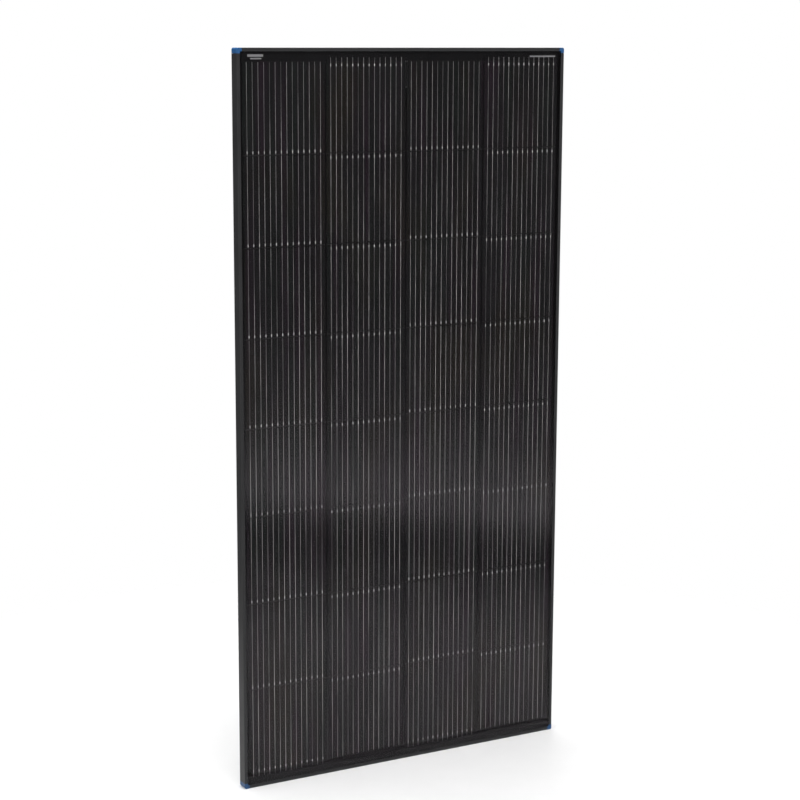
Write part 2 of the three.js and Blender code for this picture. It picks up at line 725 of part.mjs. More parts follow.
function junctionBox() {
  const group = new THREE.Group();
  group.position.set(0, BOX_Y, BOX_Z);
  group.add(piece("junction_box_base", boxBase(), FINISH.boxPlastic));
  group.add(piece("junction_box_lid", boxLid(), FINISH.boxPlastic));

  ["left", "middle", "right"].forEach((side, index) => {
    const mesh = piece(`terminal_${side}`, terminal(), FINISH.terminal);
    mesh.position.x = (index - 1) * TERMINAL_SPACING;
    group.add(mesh);
  });

  const diodeY = BOX_FLOOR + DIODE_HEIGHT;
  const diodeZ = TERMINAL_BOTTOM + TERMINAL_THICKNESS / 2;
  const sealTop = -BOX_HALF_HEIGHT - SPOUT_LENGTH - GLAND_GAP;
  const mouthZ = sealTop - SEAL_FLANGE - GLAND_GAP - NUT_END_WALL;
  ["left", "right"].forEach((side, index) => {
    const diodeMesh = piece(`bypass_diode_${side}`, diode(), FINISH.diode);
    diodeMesh.position.set((index - 0.5) * TERMINAL_SPACING, diodeY, diodeZ);
    group.add(diodeMesh);

    const sealMesh = piece(`gland_seal_${side}`, glandSeal(), FINISH.rubber);
    sealMesh.position.set(SPOUT_X[index], SPOUT_Y, sealTop - SEAL_FLANGE);
    group.add(sealMesh);

    const nutMesh = piece(`gland_nut_${side}`, glandNut(), FINISH.boxPlastic);
    nutMesh.position.set(SPOUT_X[index], SPOUT_Y, mouthZ);
    group.add(nutMesh);
  });
  return group;
}

// ---- Whole panel -------------------------------------------------------------------------

const panel = new THREE.Group();
panel.add(...frameRails());
panel.add(...cornerPieces());
panel.add(...laminate());
panel.add(...cells());
panel.add(...wiring());
panel.add(junctionBox());

export default panel;
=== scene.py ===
"""A framed solar panel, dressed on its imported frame. Metres, in the frame's own axes."""

import math

import bmesh
import bpy
from mathutils import Matrix, Vector


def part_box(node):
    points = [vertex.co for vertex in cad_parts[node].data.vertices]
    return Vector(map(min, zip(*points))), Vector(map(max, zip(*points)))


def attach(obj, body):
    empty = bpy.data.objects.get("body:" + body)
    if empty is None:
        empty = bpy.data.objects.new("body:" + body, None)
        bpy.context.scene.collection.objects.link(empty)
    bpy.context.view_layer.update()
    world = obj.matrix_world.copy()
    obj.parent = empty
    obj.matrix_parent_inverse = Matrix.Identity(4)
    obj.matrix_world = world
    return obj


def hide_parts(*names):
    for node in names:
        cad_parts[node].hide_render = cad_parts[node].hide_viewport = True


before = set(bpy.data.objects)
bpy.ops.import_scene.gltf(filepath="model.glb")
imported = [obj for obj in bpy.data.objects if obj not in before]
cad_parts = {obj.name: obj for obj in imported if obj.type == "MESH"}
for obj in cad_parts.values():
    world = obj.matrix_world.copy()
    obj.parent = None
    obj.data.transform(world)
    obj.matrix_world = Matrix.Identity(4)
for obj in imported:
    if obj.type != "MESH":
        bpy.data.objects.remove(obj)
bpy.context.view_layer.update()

MM = 0.001
COLUMNS = 4
ROWS = 8
WIRES_PER_CELL = 14


# ---- Places that follow from the frame -----------------------------------------------------

PANEL_LOW = Vector([min(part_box(f"frame_rail_{s}")[0][k] for s in ("left", "bottom")) for k in range(3)])
PANEL_HIGH = Vector([max(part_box(f"frame_rail_{s}")[1][k] for s in ("right", "top")) for k in range(3)])
GRID_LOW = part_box(f"cell_column_1_row_{ROWS}")[0]
GRID_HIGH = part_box(f"cell_column_{COLUMNS}_row_1")[1]
GRID_CENTRE = (GRID_LOW + GRID_HIGH) / 2
CELL_FRONT = GRID_LOW.y
COLUMN_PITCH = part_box("cell_column_2_row_1")[0].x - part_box("cell_column_1_row_1")[0].x
ROW_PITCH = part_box("cell_column_1_row_1")[0].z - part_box("cell_column_1_row_2")[0].z


# ---- Camera and light ----------------------------------------------------------------------

CAMERA_FROM_GRID = Vector((-1.9667, -3.5391, 0.7874))
CAMERA_AZIMUTH = 28.914
CAMERA_ELEVATION = -10.598
CAMERA_ROLL = 0.22
CAMERA_LENS = 87.92


def make_camera():
    data = bpy.data.cameras.new("camera")
    data.lens = CAMERA_LENS
    data.sensor_width = 36
    data.clip_start = 0.05
    data.clip_end = 100
    camera = bpy.data.objects.new("camera", data)
    bpy.context.scene.collection.objects.link(camera)
    turn = Matrix.Rotation(math.radians(-CAMERA_AZIMUTH), 4, "Z")
    tilt = Matrix.Rotation(math.radians(90 + CAMERA_ELEVATION), 4, "X")
    roll = Matrix.Rotation(math.radians(CAMERA_ROLL), 4, "Z")
    camera.matrix_world = Matrix.Translation(GRID_CENTRE + CAMERA_FROM_GRID) @ turn @ tilt @ roll
    bpy.context.scene.camera = camera


def softbox(name, place, aim, width, height, power, colour=(1, 1, 1)):
    """A rectangular lamp at place that faces the point aim."""
    data = bpy.data.lights.new(name, "AREA")
    data.shape = "RECTANGLE"
    data.size = width
    data.size_y = height
    data.energy = power
    data.color = colour
    lamp = bpy.data.objects.new(name, data)
    lamp.location = place
    lamp.rotation_mode = "QUATERNION"
    lamp.rotation_quaternion = (Vector(aim) - Vector(place)).to_track_quat("-Z", "Y")
    lamp.visible_camera = False
    bpy.context.scene.collection.objects.link(lamp)


def make_lights():
    softbox("overhead", (-0.3, -0.2, 3.6), (0, 0, 0), 3.6, 3.6, 214)
    softbox("rear", (2.6, 4.2, 2.6), (0, 0, 0.8), 2.0, 2.0, 60)
    softbox("left_side", (-4.0, -2.2, 0.3), (0, 0, 0.8), 2.0, 2.0, 66)
    softbox("right_side", (3.7, -2.6, 0.6), (0, 0, 0.8), 1.0, 1.4, 19)


SURROUND_TONE = 1.0
SKIRTING = (
    (-0.300, 0.75),
    (-0.275, 0.55),
    (-0.257, 0.16),
    (-0.247, 0.45),
    (-0.236, 1.65),
    (-0.220, 1.25),
    (-0.205, 0.70),
    (-0.191, 0.52),
    (-0.165, 0.34),
    (-0.140, 0.20),
    (0.100, 0.17),
)
ROOM_BRIGHTEST = 2.0
REAR_SHARE = 0.3
REAR_FADE = 0.3
STRIP_LEAN = 0.07
STRIP_LEVEL_AT = 0.48


def make_world():
    """A pale surround for the camera. What the panel reflects is a dimmer room,
    with one soft bright strip low down where its wall meets its floor, and darker behind the panel."""
    world = bpy.data.worlds.new("studio")
    world.use_nodes = True
    bpy.context.scene.world = world
    tree = world.node_tree
    nodes = tree.nodes
    nodes.clear()
    output = nodes.new("ShaderNodeOutputWorld")
    mix = nodes.new("ShaderNodeMixShader")
    seen = nodes.new("ShaderNodeBackground")
    seen.inputs["Color"].default_value = (SURROUND_TONE, SURROUND_TONE, SURROUND_TONE, 1)
    low, high = SKIRTING[0][0], SKIRTING[-1][0]
    direction = nodes.new("ShaderNodeTexCoord")
    split = nodes.new("ShaderNodeSeparateXYZ")
    place = nodes.new("ShaderNodeMapRange")
    place.inputs["From Min"].default_value = low + STRIP_LEAN * STRIP_LEVEL_AT
    place.inputs["From Max"].default_value = high + STRIP_LEAN * STRIP_LEVEL_AT
    ramp = nodes.new("ShaderNodeValToRGB")
    while len(ramp.color_ramp.elements) < len(SKIRTING):
        ramp.color_ramp.elements.new(0.5)
    for element, (height, tone) in zip(ramp.color_ramp.elements, SKIRTING):
        element.position = (height - low) / (high - low)
        element.color = (*[tone / ROOM_BRIGHTEST] * 3, 1)
    room = nodes.new("ShaderNodeBackground")
    tree.links.new(direction.outputs["Generated"], split.inputs["Vector"])
    lean = nodes.new("ShaderNodeMath")
    lean.operation = "MULTIPLY_ADD"
    lean.inputs[1].default_value = STRIP_LEAN
    tree.links.new(split.outputs["X"], lean.inputs[0])
    tree.links.new(split.outputs["Z"], lean.inputs[2])
    tree.links.new(lean.outputs["Value"], place.inputs["Value"])
    tree.links.new(place.outputs["Result"], ramp.inputs["Fac"])
    tree.links.new(ramp.outputs["Color"], room.inputs["Color"])
    rear = nodes.new("ShaderNodeMapRange")
    rear.inputs["From Min"].default_value = -REAR_FADE
    rear.inputs["From Max"].default_value = REAR_FADE
    rear.inputs["To Min"].default_value = ROOM_BRIGHTEST
    rear.inputs["To Max"].default_value = ROOM_BRIGHTEST * REAR_SHARE
    tree.links.new(split.outputs["Y"], rear.inputs["Value"])
    tree.links.new(rear.outputs["Result"], room.inputs["Strength"])
    path = nodes.new("ShaderNodeLightPath")
    tree.links.new(path.outputs["Is Camera Ray"], mix.inputs["Fac"])
    tree.links.new(room.outputs["Background"], mix.inputs[1])
    tree.links.new(seen.outputs["Background"], mix.inputs[2])
    tree.links.new(mix.outputs["Shader"], output.inputs["Surface"])


# ---- Material building blocks --------------------------------------------------------------


class Finish:
    """A node material with a Principled shader and short ways to add what drives it."""

    def __init__(self, name):
        self.material = bpy.data.materials.new(name)
        self.material.use_nodes = True
        self.tree = self.material.node_tree
        self.shader = self.tree.nodes["Principled BSDF"]
        self.output = self.tree.nodes["Material Output"]
        self.where = self.node("ShaderNodeTexCoord").outputs["Object"]

    def node(self, kind, **values):
        made = self.tree.nodes.new(kind)
        for key, value in values.items():
            setattr(made, key, value)
        return made

    def link(self, start, end):
        self.tree.links.new(start, end)

    def set(self, values):
        for key, value in values.items():
            self.shader.inputs[key].default_value = value

    def stretched(self, scale):
        mapping = self.node("ShaderNodeMapping")
        mapping.inputs["Scale"].default_value = scale
        self.link(self.where, mapping.inputs["Vector"])
        return mapping.outputs["Vector"]

    def noise(self, scale, stretch=(1, 1, 1), detail=3.0, roughness=0.55):
        made = self.node("ShaderNodeTexNoise")
        made.inputs["Scale"].default_value = scale
        made.inputs["Detail"].default_value = detail
        made.inputs["Roughness"].default_value = roughness
        self.link(self.stretched(stretch), made.inputs["Vector"])
        return made.outputs["Fac"]

    def ramp(self, value, low, high, low_at=0.3, high_at=0.7):
        """Maps value from low_at..high_at to low..high, which are both numbers or both colours."""
        if isinstance(low, (int, float)):
            made = self.node("ShaderNodeMapRange")
            limits = {"From Min": low_at, "From Max": high_at, "To Min": low, "To Max": high}
            for key, number in limits.items():
                made.inputs[key].default_value = number
            self.link(value, made.inputs["Value"])
            return made.outputs["Result"]
        made = self.node("ShaderNodeValToRGB")
        first, last = made.color_ramp.elements
        first.position = low_at
        first.color = (*low, 1)
        last.position = high_at
        last.color = (*high, 1)
        self.link(value, made.inputs["Fac"])
        return made.outputs["Color"]

    def maths(self, operation, a, b=None):
        made = self.node("ShaderNodeMath", operation=operation)
        for socket, value in zip(made.inputs, (a, b)):
            if isinstance(value, (int, float)):
                socket.default_value = value
            elif value is not None:
                self.link(value, socket)
        return made.outputs[0]

    def blend(self, factor, a, b):
        """Mixes two colours, each a socket or a plain colour."""
        made = self.node("ShaderNodeMix", data_type="RGBA")
        for name, value in (("Factor", factor), ("A", a), ("B", b)):
            socket = next(s for s in made.inputs if s.name == name and s.enabled)
            if isinstance(value, tuple):
                socket.default_value = (*value, 1)
            elif isinstance(value, (int, float)):
                socket.default_value = value
            else:
                self.link(value, socket)
        return next(s for s in made.outputs if s.enabled)

    def axis(self, name):
        split = self.node("ShaderNodeSeparateXYZ")
        self.link(self.where, split.inputs["Vector"])
        return split.outputs[name]

    def bump(self, height, strength, distance):
        made = self.node("ShaderNodeBump")
        made.inputs["Strength"].default_value = strength
        made.inputs["Distance"].default_value = distance
        self.link(height, made.inputs["Height"])
        return made.outputs["Normal"]

    def shade(self, colour=None, roughness=None, normal=None):
        for name, socket in (("Base Color", colour), ("Roughness", roughness), ("Normal", normal)):
            if socket is not None:
                self.link(socket, self.shader.inputs[name])
        return self.material


# ---- Materials -----------------------------------------------------------------------------


def anodised(name, along):
    """Black anodised aluminium, with faint extrusion lines along one axis."""
    finish = Finish(name)
    stretch = tuple(0.01 if axis == along else 1.0 for axis in "xyz")
    lines = finish.noise(1400, stretch, detail=2)
    cloud = finish.noise(14, detail=4)
    scuffs = finish.noise(260, (0.4, 1, 1), detail=5, roughness=0.7)
    colour = finish.ramp(cloud, (0.017, 0.017, 0.018), (0.024, 0.024, 0.0255))
    colour = finish.blend(finish.ramp(scuffs, 0.0, 0.5, 0.66, 0.8), colour, (0.035, 0.035, 0.037))
    roughness = finish.maths("ADD", finish.ramp(lines, -0.04, 0.04), finish.ramp(cloud, 0.42, 0.5))
    finish.set({"IOR": 1.38})
    return finish.shade(colour, roughness, finish.bump(lines, 0.12, 0.00004))


def moulded(name, colour, roughness, grain=2600, strength=0.25, sheen=0.5, dust=0.22):
    """Injection-moulded plastic with a fine spark-eroded grain."""
    finish = Finish(name)
    fine = finish.noise(grain, detail=2)
    cloud = finish.noise(22, detail=4)
    darker = tuple(c * 0.86 for c in colour)
    lighter = tuple(c * 1.14 for c in colour)
    tone = finish.ramp(cloud, darker, lighter)
    specks = finish.ramp(finish.noise(420, detail=6, roughness=0.75), 0.0, dust, 0.62, 0.8)
    dusty = tuple(c * 1.5 + 0.012 for c in colour)
    tone = finish.blend(specks, tone, dusty)
    finish.set({"Specular IOR Level": sheen})
    rough = finish.ramp(cloud, roughness - 0.05, roughness + 0.06)
    return finish.shade(tone, rough, finish.bump(fine, strength, 0.00006))


def solar_glass():
    """Low-iron glass with an anti-reflective coat: it lets light straight through and mirrors a little."""
    finish = Finish("front_glass")
    grain = finish.noise(900, detail=2)
    ripple = finish.noise(6, detail=2)
    normal = finish.bump(finish.maths("ADD", grain, finish.maths("MULTIPLY", ripple, 6.0)), 0.02, 0.00006)
    clear = finish.node("ShaderNodeBsdfTransparent")
    clear.inputs["Color"].default_value = (0.966, 0.964, 0.966, 1)
    mirror = finish.node("ShaderNodeBsdfGlossy")
    mirror.inputs["Color"].default_value = (1.0, 0.935, 1.0, 1)
    finish.link(normal, mirror.inputs["Normal"])
    smear = finish.ramp(finish.noise(9, detail=5), 0.045, 0.07)
    finish.link(smear, mirror.inputs["Roughness"])
    fresnel = finish.node("ShaderNodeFresnel")
    fresnel.inputs["IOR"].default_value = 1.32
    side = finish.node("ShaderNodeNewGeometry").outputs["Backfacing"]
    share = finish.maths("MULTIPLY", fresnel.outputs["Fac"], finish.maths("SUBTRACT", 1.0, side))
    mix = finish.node("ShaderNodeMixShader")
    finish.link(share, mix.inputs["Fac"])
    finish.link(clear.outputs["BSDF"], mix.inputs[1])
    finish.link(mirror.outputs["BSDF"], mix.inputs[2])
    finish.link(mix.outputs["Shader"], finish.output.inputs["Surface"])
    finish.tree.nodes.remove(finish.shader)
    return finish.material


def clear_encapsulant():
    """The clear layer around the cells, very slightly milky in places."""
    finish = Finish("clear_encapsulant")
    clear = finish.node("ShaderNodeBsdfTransparent")
    clear.inputs["Color"].default_value = (0.985, 0.985, 0.98, 1)
    milk = finish.node("ShaderNodeBsdfDiffuse")
    milk.inputs["Color"].default_value = (0.25, 0.26, 0.28, 1)
    mix = finish.node("ShaderNodeMixShader")
    finish.link(finish.ramp(finish.noise(5, detail=4), 0.0, 0.004), mix.inputs["Fac"])
    finish.link(clear.outputs["BSDF"], mix.inputs[1])
    finish.link(milk.outputs["BSDF"], mix.inputs[2])
    finish.link(mix.outputs["Shader"], finish.output.inputs["Surface"])
    finish.tree.nodes.remove(finish.shader)
    return finish.material


FINGER_PITCH = 1.3 * MM


def silicon():
    """A dark wafer with a blue-violet coat, hair-thin silver fingers and a tint that drifts."""
    finish = Finish("cell_silicon")
    drift = finish.noise(1.0, (62, 1, 3.2), detail=3)
    hue = finish.noise(1.0, (48, 1, 2.4), detail=2)
    warmth = finish.noise(1.0, (9, 1, 3.0), detail=2)
    cool = finish.ramp(drift, (0.0022, 0.0020, 0.0026), (0.0072, 0.0062, 0.0076), 0.36, 0.64)
    tinted = finish.blend(finish.ramp(hue, 0.0, 0.7, 0.5, 0.66), cool, (0.0036, 0.0066, 0.0052))
    tinted = finish.blend(finish.ramp(hue, 0.75, 0.0, 0.34, 0.48), tinted, (0.0120, 0.0050, 0.0108))
    tinted = finish.blend(finish.ramp(warmth, 0.0, 0.6, 0.5, 0.66), tinted, (0.0098, 0.0074, 0.0034))
    object_tone = finish.node("ShaderNodeObjectInfo").outputs["Color"]
    toned = finish.node("ShaderNodeMix", data_type="RGBA", blend_type="MULTIPLY")
    sockets = {s.name: s for s in toned.inputs if s.enabled}
    sockets["Factor"].default_value = 1.0
    finish.link(tinted, sockets["A"])
    finish.link(object_tone, sockets["B"])
    toned_out = next(s for s in toned.outputs if s.enabled)
    step = finish.maths("FRACT", finish.maths("DIVIDE", finish.axis("Z"), FINGER_PITCH))
    finger = finish.maths("LESS_THAN", step, 0.05)
    colour = finish.blend(finger, toned_out, (0.05, 0.05, 0.052))
    finish.set({"IOR": 1.45, "Specular IOR Level": 0.08})
    rough = finish.ramp(finish.noise(60, detail=3), 0.42, 0.55)
    return finish.shade(colour, rough, finish.bump(finish.noise(5200, detail=1), 0.2, 0.00003))


def tinned(name, tone=0.62, roughness=0.36):
    """Solder-tinned copper with painted glints: its colour runs brighter and duller along its length and
    from wire to wire.
    """
    finish = Finish(name)
    along = finish.noise(1.0, (160, 40, 4), detail=4, roughness=0.6)
    fine = finish.noise(1500, detail=2)
    # Painted glints: with the noise, the colour swings between this dull tone and the bright one below.
    dull = (tone * 0.32, tone * 0.31, tone * 0.32)
    bright = (tone * 1.17, tone * 1.14, tone * 1.15)
    colour = finish.ramp(along, dull, bright, 0.37, 0.61)
    finish.set({"Metallic": 1.0})
    rough = finish.ramp(along, roughness + 0.1, roughness - 0.08)
    return finish.shade(colour, rough, finish.bump(fine, 0.2, 0.00003))


def solder_glint():
    """Solder, matt and pale, uneven from joint to joint. Its near-white colour is a painted glint where the
    wires bend.
    """
    finish = Finish("solder_glint")
    cloud = finish.noise(1.0, (110, 60, 40), detail=3)
    # Painted glint: near-white and matt, so the pads show bright whatever the light.
    colour = finish.ramp(cloud, (0.6, 0.6, 0.61), (0.96, 0.95, 0.97), 0.4, 0.6)
    rough = finish.ramp(cloud, 0.5, 0.32)
    return finish.shade(colour, rough, finish.bump(finish.noise(1800), 0.3, 0.00005))


def black_backsheet():
    """Matt black film. The cells behind it stand out very faintly, as they do after pressing."""
    finish = Finish("black_backsheet")
    seams = None
    for name, start, pitch in (("X", GRID_LOW.x, COLUMN_PITCH), ("Z", GRID_LOW.z, ROW_PITCH)):
        place = finish.maths("DIVIDE", finish.maths("SUBTRACT", finish.axis(name), start), pitch)
        off = finish.maths("ABSOLUTE", finish.maths("SUBTRACT", finish.maths("FRACT", place), 0.5))
        groove = finish.ramp(off, 0.0, 1.0, 0.484, 0.498)
        seams = groove if seams is None else finish.maths("MAXIMUM", seams, groove)
    peel = finish.noise(330, detail=3)
    height = finish.maths("SUBTRACT", finish.maths("MULTIPLY", peel, 0.35), seams)
    cloud = finish.noise(7, detail=5)
    colour = finish.ramp(cloud, (0.0052, 0.0052, 0.0056), (0.0078, 0.0078, 0.0084))
    return finish.shade(colour, finish.ramp(cloud, 0.42, 0.55), finish.bump(height, 0.5, 0.00012))


def silicone():
    finish = Finish("black_silicone")
    lumps = finish.noise(95, detail=3)
    colour = finish.ramp(lumps, (0.006, 0.006, 0.006), (0.011, 0.011, 0.0115))
    return finish.shade(colour, finish.ramp(lumps, 0.3, 0.5), finish.bump(lumps, 0.6, 0.0005))


def label_vinyl():
    """A plain pale sticker ruled into empty boxes."""
    finish = Finish("label_vinyl")
    cloud = finish.noise(40, detail=3)
    colour = finish.ramp(cloud, (0.5, 0.5, 0.49), (0.6, 0.6, 0.585))
    return finish.shade(colour, finish.ramp(cloud, 0.35, 0.5), finish.bump(finish.noise(700), 0.1, 0.00005))


def stage_floor():
    """A pale floor that fades into the surround, so that it shows no edge."""
    finish = Finish("floor")
    grain = finish.noise(9, detail=4)
    colour = finish.ramp(grain, (0.87, 0.87, 0.87), (0.89, 0.89, 0.89))
    finish.shade(colour)
    finish.set({"Roughness": 0.85})
    length = finish.node("ShaderNodeVectorMath", operation="LENGTH")
    finish.link(finish.where, length.inputs[0])
    fade = finish.ramp(length.outputs["Value"], 0.0, 1.0, 0.8, 1.5)
    clear = finish.node("ShaderNodeBsdfTransparent")
    mix = finish.node("ShaderNodeMixShader")
    finish.link(fade, mix.inputs["Fac"])
    finish.link(finish.shader.outputs["BSDF"], mix.inputs[1])
    finish.link(clear.outputs["BSDF"], mix.inputs[2])
    finish.link(mix.outputs["Shader"], finish.output.inputs["Surface"])
    return finish.material


BLUE = (0.015, 0.078, 0.21)
BOX_BLACK = (0.0105, 0.0105, 0.011)

MATERIALS = {
    "rail_z": anodised("anodised_upright", "z"),
    "rail_x": anodised("anodised_level", "x"),
    "blue": moulded("blue_plastic", BLUE, 0.46, dust=0.06, sheen=0.35),
    "glass": solar_glass(),
    "encapsulant": clear_encapsulant(),
    "cell": silicon(),
    "wire": tinned("tinned_wire", 0.85),
    "ribbon": tinned("tinned_ribbon", 0.55, 0.32),
    "solder_glint": solder_glint(),
    "backsheet": black_backsheet(),
    "silicone": silicone(),
    "box": moulded("box_plastic", BOX_BLACK, 0.5, 1500, 0.5),
    "nut": moulded("nut_plastic", (0.013, 0.013, 0.0135), 0.42, 2600, 0.3),
    "diode": moulded("diode_epoxy", (0.012, 0.012, 0.012), 0.3, 3000, 0.1),
    "rubber": moulded("gland_rubber", (0.008, 0.008, 0.008), 0.75, 1200, 0.5),
    "cover_strip": moulded("black_cover_strip", (0.0045, 0.0045, 0.0052), 0.6, 1800, 0.3, sheen=0.08),
    "label": label_vinyl(),
    "label_ink": moulded("label_ink", (0.03, 0.03, 0.032), 0.5, 1800, 0.1),
    "mark": moulded("grey_print", (0.3, 0.3, 0.31), 0.55, 1800, 0.1),
}


# ---- Mesh building blocks ------------------------------------------------------------------

SHARP_ANGLE = math.radians(30)


def add_piece(name, mesh_data, body, material):
    piece = bpy.data.objects.new(name, mesh_data)
    bpy.context.scene.collection.objects.link(piece)
    mesh_data.materials.clear()
    mesh_data.materials.append(MATERIALS[material])
    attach(piece, body)
    return piece


def soften(piece, width, segments=2):
    """Rounds the piece's sharp edges and shades the result smoothly."""
    for polygon in piece.data.polygons:
        polygon.use_smooth = True
    bevel = piece.modifiers.new("rounded_edges", "BEVEL")
    bevel.width = width
    bevel.segments = segments
    bevel.limit_method = "ANGLE"
    bevel.angle_limit = SHARP_ANGLE
    bevel.harden_normals = True
    bevel.use_clamp_overlap = True


def refined(name, node, body, material, width, segments=2):
    """A clean copy of a CAD node, with its edges rounded, that stands for the node."""
    mesh = bmesh.new()
    mesh.from_mesh(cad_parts[node].data)
    bmesh.ops.remove_doubles(mesh, verts=mesh.verts, dist=0.005 * MM)
    bmesh.ops.dissolve_limit(
        mesh,
        angle_limit=math.radians(0.5),
        verts=mesh.verts,
        edges=mesh.edges,
        use_dissolve_boundaries=False,
    )
    data = bpy.data.meshes.new(name)
    mesh.to_mesh(data)
    mesh.free()
    for layer in [a.name for a in data.attributes if a.name == "custom_normal"]:
        data.attributes.remove(data.attributes[layer])
    piece = add_piece(name, data, body, material)
    soften(piece, width, segments)
    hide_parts(node)
    return piece


def loft(rings, closed_ends=True):
    """Vertices and faces of a skin over rings that each have the same number of points."""
    count = len(rings[0])
    vertices = [point for ring in rings for point in ring]
    faces = []
    for k in range(len(rings) - 1):
        for j in range(count):
            a = k * count + j
            b = k * count + (j + 1) % count
            faces.append((a, b, b + count, a + count))
    if closed_ends:
        faces.append(tuple(range(count - 1, -1, -1)))
        faces.append(tuple(range((len(rings) - 1) * count, len(rings) * count)))
    return vertices, faces


def mesh_of(name, parts):
    """One mesh from several (vertices, faces) parts, with its faces turned outwards."""
    vertices, faces = [], []
    for part_vertices, part_faces in parts:
        start = len(vertices)
        vertices += part_vertices
        faces += [tuple(start + i for i in face) for face in part_faces]
    data = bpy.data.meshes.new(name)
    data.from_pydata(vertices, [], faces)
    mesh = bmesh.new()
    mesh.from_mesh(data)
    bmesh.ops.recalc_face_normals(mesh, faces=mesh.faces)
    mesh.to_mesh(data)
    mesh.free()
    return data


def add_built(name, parts, body, material):
    """A piece made from several (vertices, faces) parts."""
    return add_piece(name, mesh_of(name, parts), body, material)


def rounded_outline(x0, x1, z0, z1, radius, steps=5):
    """Points round a rectangle with rounded corners, in the XZ plane."""
    corners = ((x1, z0, -90), (x1, z1, 0), (x0, z1, 90), (x0, z0, 180))
    points = []
    for x, z, start in corners:
        centre_x = x - radius if x == x1 else x + radius
        centre_z = z - radius if z == z1 else z + radius
        for k in range(steps + 1):
            angle = math.radians(start + 90 * k / steps)
            points.append((centre_x + radius * math.cos(angle), centre_z + radius * math.sin(angle)))
    return points


def hoop(rings):
    """A closed band: each ring joins the next, and the last joins the first."""
    vertices, faces = loft(rings, closed_ends=False)
    count = len(rings[0])
    last = (len(rings) - 1) * count
    for j in range(count):
        following = (j + 1) % count
        faces.append((last + j, last + following, following, j))
    return vertices, faces


def plate(x0, x1, y0, y1, z0, z1, radius, crown=0.0):
    """A rounded plate between two depths. crown pulls its rim in at the far face."""
    outline = rounded_outline(x0, x1, z0, z1, radius)
    inner_radius = max(radius - crown, radius * 0.4)
    inner = rounded_outline(x0 + crown, x1 - crown, z0 + crown, z1 - crown, inner_radius)
    rings = [[(x, y0, z) for x, z in outline]]
    if crown:
        edge = y1 - math.copysign(min(crown, abs(y1 - y0) / 2), y1 - y0)
        rings.append([(x, edge, z) for x, z in outline])
        rings.append([(x, y1, z) for x, z in inner])
    else:
        rings.append([(x, y1, z) for x, z in outline])
    return loft(rings)


# ---- Frame and corners ---------------------------------------------------------------------


def dress_frame():
    for side in ("left", "right", "top", "bottom"):
        material = "rail_z" if side in ("left", "right") else "rail_x"
        refined(f"rail_{side}", f"frame_rail_{side}", "panel", material, 0.6 * MM, 3)
    for corner in ("top_left", "top_right", "bottom_left", "bottom_right"):
        node = f"corner_piece_{corner}"
        refined(f"corner_{corner}", node, "panel", "blue", 0.7 * MM, 3)


# ---- Laminate ------------------------------------------------------------------------------


def dress_laminate():
    refined("glass_pane", "glass", "panel", "glass", 0.4 * MM)
    layers = {"encapsulant": "encapsulant", "backsheet": "backsheet", "edge_seal": "silicone"}
    for node, material in layers.items():
        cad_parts[node].material_slots[0].material = MATERIALS[material]


def cell_tone(column, row):
    """A small, fixed difference in tone from cell to cell."""
    wave = math.sin(12.9898 * column + 78.233 * row) * 43758.5453
    return 0.9 + 0.2 * (wave - math.floor(wave))


def dress_cells():
    for column in range(1, COLUMNS + 1):
        for row in range(1, ROWS + 1):
            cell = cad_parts[f"cell_column_{column}_row_{row}"]
            cell.material_slots[0].material = MATERIALS["cell"]
            tone = cell_tone(column, row)
            cell.color = (tone, tone, tone * 1.02, 1)


# ---- Wires ---------------------------------------------------------------------------------

WIRE_SIDES = 8
WIRE_WIDTH = 0.53 * MM
WIRE_THICKNESS = 0.24 * MM
FLAT_WIDTH = 0.95 * MM
FLAT_THICKNESS = 0.12 * MM
FLAT_LENGTH = 6.0 * MM
FLAT_OFFSET_LOW = 1.6 * MM
FLAT_OFFSET_HIGH = 4.6 * MM
PAD_WIDTH = 1.6 * MM
PAD_HEIGHT = 0.32 * MM
# How far along the flattened stretch each section of a solder pad lies, and its share of the full width.
PAD_SECTIONS = ((0.02, 0.3), (0.12, 0.75), (0.3, 1.0), (0.7, 1.0), (0.88, 0.75), (0.98, 0.3))
TAIL_LENGTH = 8.0 * MM
END_GAP = 1.2 * MM


def wire_ring(x, y, z, width, thickness):
    """One section of a wire that runs up the panel."""
    ring = []
    for k in range(WIRE_SIDES):
        angle = 2 * math.pi * (k + 0.5) / WIRE_SIDES
        ring.append((x + width / 2 * math.cos(angle), y + thickness / 2 * math.sin(angle), z))
    return ring


def flat_offset(bend_low):
    """How far from the cell's edge a wire's flattened stretch starts."""
    return FLAT_OFFSET_LOW if bend_low else FLAT_OFFSET_HIGH


def solder_pad(x, low, high, bend_low):
    """Solder in a long drop over a wire's flattened stretch. Its pale matt colour is a painted glint."""
    base = CELL_FRONT - 0.02 * MM
    rings = []
    for along, share in PAD_SECTIONS:
        distance = flat_offset(bend_low) + along * FLAT_LENGTH
        z = low + distance if bend_low else high - distance
        width = PAD_WIDTH * share
        height = PAD_HEIGHT * (0.5 + 0.5 * share)
        rings.append(wire_ring(x, base - height / 2, z, width, height))
    return loft(rings)


